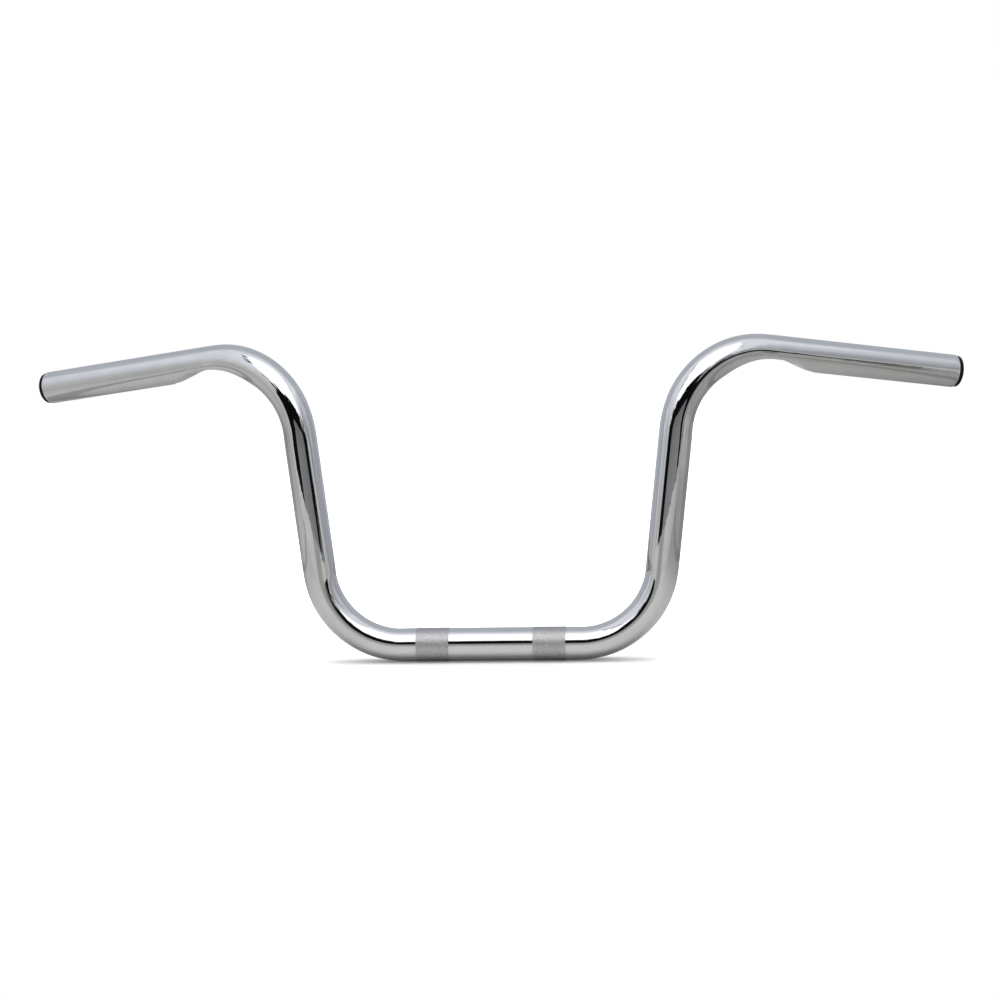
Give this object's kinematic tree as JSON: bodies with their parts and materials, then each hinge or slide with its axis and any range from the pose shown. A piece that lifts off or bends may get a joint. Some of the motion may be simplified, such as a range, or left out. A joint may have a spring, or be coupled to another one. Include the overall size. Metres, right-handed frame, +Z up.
{
  "type": "ape hanger handlebar",
  "caption": "Tall one-piece motorcycle handlebar in chromed tube with knurled clamp bands, cable dimples under the grips and black push-in end plugs",
  "frame": {"origin": "middle of the clamp section, on the tube's axis", "axes": "+X along the clamp section to the rider's left, +Y back towards the rider, +Z up along the uprights' plane"},
  "size_m": [0.734, 0.1049, 0.2467],
  "materials": {
    "chrome": "bright chrome plating on steel tube, matte over the knurled bands",
    "end_plug": "black moulded plastic with a light satin face"
  },
  "bodies": {
    "root": {"handlebar": "chrome", "left_end_plug": "end_plug", "right_end_plug": "end_plug"}
  },
  "joints": []
}
